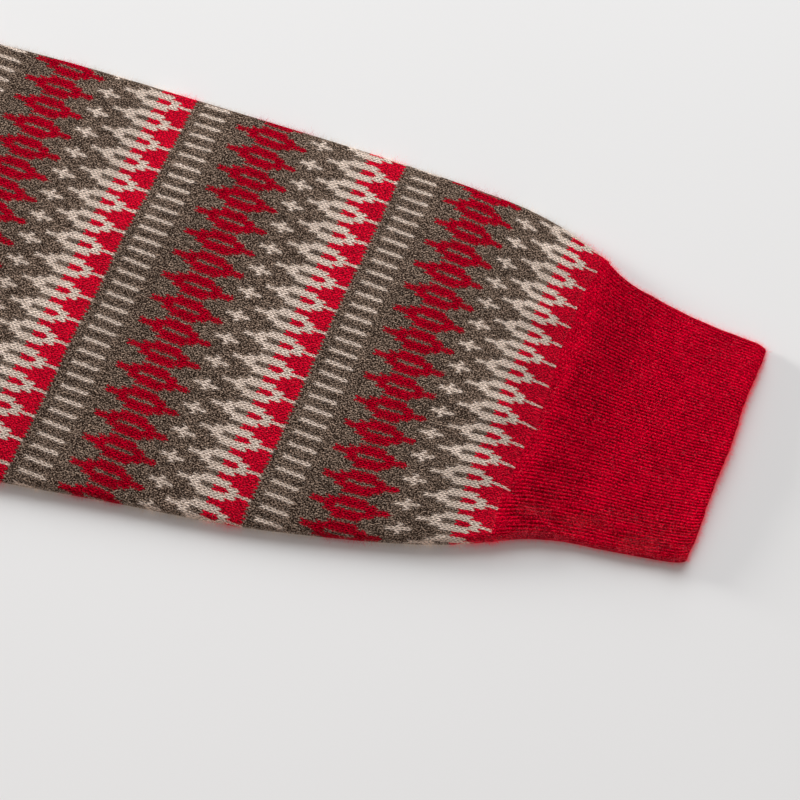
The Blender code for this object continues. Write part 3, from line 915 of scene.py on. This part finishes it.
def charted_yarn(nodes, stitch, groups):
    """The yarn's mark at a stitch, looked up in the chart at places that fine noise moves a little.

    Two looks, to the left and to the right, spread the red. Two more draw the cream in. Both get ragged
    edges. A last look, moved further, lays a haze of each yarn over its neighbours.
    """
    seat = nodes.add("ShaderNodeCombineXYZ")
    nodes.feed(seat.inputs[0], stitch.outputs["Across"])
    nodes.feed(seat.inputs[1], stitch.outputs["Course"])

    def look(stray, shift):
        across, course = nodes.split(nodes.jitter(seat.outputs[0], 5.0, stray))
        chart = nodes.add("ShaderNodeGroup", node_tree=groups["chart"])
        nodes.feed(chart.inputs["Across"], nodes.math("ADD", across, shift))
        nodes.feed(chart.inputs["Course"], course)
        return chart.outputs["Yarn"]

    left, right = (nodes.channels(look(*place)) for place in RED_LOOKS)
    near, far = (nodes.channels(look(*place)) for place in CREAM_LOOKS)
    own = nodes.add("ShaderNodeCombineColor")
    nodes.feed(own.inputs[0], nodes.math("MAXIMUM", left[0], right[0]))
    nodes.feed(own.inputs[1], nodes.math("MINIMUM", near[1], far[1]))
    nodes.feed(own.inputs[2], nodes.math("MAXIMUM", left[2], right[2]))
    return nodes.mix(HAZE_SHARE, own.outputs[0], look(*HAZE_LOOK))


def band_painted_light(nodes, place):
    """How light a band of ribbing is, from its courses past the seam: painted shade near the seam and
    painted light near its free edge.
    """
    courses = nodes.math("ABSOLUTE", nodes.split(place)[1])
    seam_shade = nodes.math("MULTIPLY_ADD", courses, -1 / SEAM_SHADE_COURSES, 1.0, clamp=True)
    seam_shade = nodes.math("MULTIPLY", seam_shade, nodes.math("MULTIPLY", courses, 1 / SEAM_SHADE_FADE, clamp=True))
    end_light = nodes.math("MULTIPLY_ADD", courses, 1 / END_LIGHT_FADE, -END_LIGHT_FROM / END_LIGHT_FADE, clamp=True)
    shaded = nodes.math("MULTIPLY_ADD", seam_shade, -SEAM_PAINTED_SHADE, 1.0)
    return nodes.math("MULTIPLY_ADD", end_light, END_PAINTED_LIGHT, shaded)


def knit_material(name, groups, charted, relief=0.0, brightness=1.0):
    """Napped knit with the stitch's relief. Without a relief it is the nap's own, in the yarns' colours.

    The nap gives off a little of its colour: a painted glow for the light that passes through a fibre.
    """
    material = bpy.data.materials.new(name)
    material.use_nodes = True
    nodes = Nodes(material.node_tree)
    shader = material.node_tree.nodes["Principled BSDF"]
    shader.inputs["Roughness"].default_value = 1.0
    shader.inputs["Specular IOR Level"].default_value = 0.0
    place = nodes.add("ShaderNodeUVMap", uv_map="stitches").outputs[0]
    stitch = nodes.add("ShaderNodeGroup", node_tree=groups["stitch" if charted else "rib"])
    nodes.feed(stitch.inputs["Stitches"], place)
    yarn = nodes.add("ShaderNodeGroup", node_tree=groups["yarn"])
    nodes.feed(yarn.inputs["Stitches"], place)
    nodes.feed(yarn.inputs["Chance"], stitch.outputs["Chance"])
    if charted:
        stitch.inputs["Slant"].default_value = STITCH_SLANT
        nodes.feed(yarn.inputs["Yarn"], charted_yarn(nodes, stitch, groups))
    else:
        yarn.inputs["Yarn"].default_value = YARN_MARK["red"]
    if not relief:
        yarn.inputs["Fuzz"].default_value = NAP_FUZZ
        nodes.feed(shader.inputs["Base Color"], yarn.outputs["Colour"])
        # Painted glow: the nap's colour is given off as emission.
        nodes.feed(shader.inputs["Emission Color"], yarn.outputs["Colour"])
        shader.inputs["Emission Strength"].default_value = NAP_PAINTED_GLOW
        return material
    # Painted shade and light: the colour follows the stitch's height, down to the gap's value in dips and
    # holes and up to the brightness on the strokes.
    deep = yarn.outputs["Gap"]
    rise = nodes.math("POWER", stitch.outputs["Height"], 0.9)
    lit = nodes.math("MULTIPLY_ADD", rise, nodes.math("SUBTRACT", brightness, deep), deep)
    if charted:
        yarn.inputs["Fluff"].default_value = STRANDED_FLUFF
    else:
        # The rib's colour takes the band's painted shade by the seam and painted light at its free edge.
        lit = nodes.math("MULTIPLY", lit, band_painted_light(nodes, place))
    nodes.feed(shader.inputs["Base Color"], nodes.scaled(yarn.outputs["Colour"], lit))
    bump = nodes.add("ShaderNodeBump")
    bump.inputs["Distance"].default_value = relief
    fuzz = nodes.noise(place, 5.0, 3.0)
    nodes.feed(bump.inputs["Height"], nodes.math("MULTIPLY_ADD", fuzz, 0.5, stitch.outputs["Height"]))
    nodes.feed(shader.inputs["Normal"], bump.outputs[0])
    return material


def floor_material():
    """A pale, matt surface whose tone wanders a little."""
    material = bpy.data.materials.new("pale_table")
    material.use_nodes = True
    nodes = Nodes(material.node_tree)
    shader = material.node_tree.nodes["Principled BSDF"]
    place = nodes.add("ShaderNodeTexCoord").outputs["Object"]
    tone = nodes.noise(place, 3.0, 2.0)
    nodes.feed(shader.inputs["Base Color"], nodes.mix(tone, (0.80, 0.80, 0.80, 1), (0.83, 0.83, 0.83, 1)))
    shader.inputs["Roughness"].default_value = 0.8
    shader.inputs["Specular IOR Level"].default_value = 0.1
    return material


# ---------------------------------------------------------------- the camera, the table and the lights

PHOTO_MIDDLE = (HALF_CHEST + 0.3227, UNDERARM - MIDDLE - 0.0005, 0.0)
CAMERA_ELEVATION = math.radians(67)
CAMERA_DISTANCE = 0.78
CAMERA_LENS = 90.0

LAMPS = (
    # name, place from the photo's middle, size, power, colour
    ("window", (0.80, 3.00, 1.75), 3.1, 134.0, (0.965, 1.03, 1.055)),
    ("low_window", (-2.60, 1.50, 0.45), 0.7, 110.0, (1.0, 0.99, 0.97)),
)
ROOM_LIGHT = (1.0, 0.895, 0.86)
ROOM_STRENGTH = 0.365
TABLE_HALF = 6.0


def camera_on_sleeve():
    """Looks down at the sleeve's end from the side of the hem, as steeply as in the photograph."""
    data = bpy.data.cameras.new("camera")
    data.lens = CAMERA_LENS
    data.sensor_width = 36.0
    data.clip_start = 0.02
    camera = bpy.data.objects.new("camera", data)
    camera.location = (
        PHOTO_MIDDLE[0],
        PHOTO_MIDDLE[1] - CAMERA_DISTANCE * math.cos(CAMERA_ELEVATION),
        CAMERA_DISTANCE * math.sin(CAMERA_ELEVATION),
    )
    camera.rotation_euler = (math.pi / 2 - CAMERA_ELEVATION, 0, 0)
    bpy.context.scene.collection.objects.link(camera)
    bpy.context.scene.camera = camera


def soft_lamp(name, offset, size, power, colour):
    """A round lamp that faces the photo's middle."""
    x, y, _ = PHOTO_MIDDLE
    place = Vector((x + offset[0], y + offset[1], offset[2]))
    data = bpy.data.lights.new(name, "AREA")
    data.shape = "DISK"
    data.size = size
    data.energy = power
    data.color = colour
    lamp = bpy.data.objects.new(name, data)
    lamp.location = place
    lamp.rotation_euler = (Vector((x, y, 0)) - place).to_track_quat("-Z", "Y").to_euler()
    bpy.context.scene.collection.objects.link(lamp)


def table_and_light():
    """The surface that the part lies on, the room's light and the two windows."""
    mesh = bpy.data.meshes.new("table")
    half = TABLE_HALF
    corners = [(-half, -half, 0), (half, -half, 0), (half, half, 0), (-half, half, 0)]
    mesh.from_pydata(corners, [], [(0, 1, 2, 3)])
    mesh.materials.append(floor_material())
    table = bpy.data.objects.new("table", mesh)
    bpy.context.scene.collection.objects.link(table)
    world = bpy.data.worlds.new("studio")
    world.use_nodes = True
    background = world.node_tree.nodes["Background"]
    background.inputs[0].default_value = (*ROOM_LIGHT, 1)
    background.inputs[1].default_value = ROOM_STRENGTH
    bpy.context.scene.world = world
    for lamp in LAMPS:
        soft_lamp(*lamp)
    bpy.context.scene.view_settings.view_transform = "Standard"


# ---------------------------------------------------------------- putting it together


def piece_of(name, node, grids, material, nap_material, slot, flat, nap, side=1, closed=False):
    """One knitted piece with its nap, as a laid sheet that replaces its solid."""
    points, stitches = grids
    piece = cloth_mesh(name, points, stitches, material, side, closed)
    nap = nap_mesh(name + "_nap", points, stitches, side, *nap, len(bpy.data.objects), nap_material)
    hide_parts(node)
    for part in (piece, nap):
        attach(part, "root")


def dress():
    """Every piece, as: name, its solid, grids, materials and slot, flat size, and its fuzz and hairs. The
    slot and the flat size are not used.
    """
    groups = {"stitch": stitch_group(), "rib": rib_group(), "chart": chart_group(), "yarn": yarn_group()}
    stranded = (
        knit_material("stranded_cashmere", groups, True, STRANDED_RELIEF, STRANDED_BRIGHTNESS),
        knit_material("stranded_nap", groups, True),
        "stranded_knit",
    )
    rib = (
        knit_material("red_cashmere_rib", groups, False, RIB_RELIEF, RIB_BRIGHTNESS),
        knit_material("red_nap", groups, False),
        "red_rib",
    )
    sleeve, cuff, panel = (0.40, 0.46), (0.22, 0.095), (0.54, 0.60)
    left_sleeve, right_sleeve = sleeve_cloth(1, 40, 150, 110), sleeve_cloth(-1, 30, 90, 70)
    front = panel_cloth(FRONT_NECK_DROP, MIDDLE_LAYER, FRONT_CREASES, 110, 130)
    back = panel_cloth(BACK_NECK_DROP, 0.0, (), 70, 100)
    piece_of("left_sleeve", "sleeve_left", left_sleeve, *stranded, sleeve, (66000, 18000), side=-1)
    piece_of("right_sleeve", "sleeve_right", right_sleeve, *stranded, sleeve, (12000, 3000))
    piece_of("left_cuff", "cuff_left", cuff_cloth(1, 46, 6), *rib, cuff, (32000, 8000), side=-1)
    piece_of("right_cuff", "cuff_right", cuff_cloth(-1, 24, 4), *rib, cuff, (8000, 1500))
    piece_of("front", "body_front", front, *stranded, panel, (24000, 5000), closed=True)
    piece_of("back", "body_back", back, *stranded, panel, (5000, 1000), closed=True)
    piece_of("hem", "hem_rib", hem_cloth(8, 420, 2), *rib, (1.04, 0.075), (9000, 2000), side=-1)
    piece_of("neck_rib", "neckband", neckband_cloth(8, 240, 3), *rib, (0.46, 0.036), (7000, 2000))


camera_on_sleeve()
table_and_light()
dress()
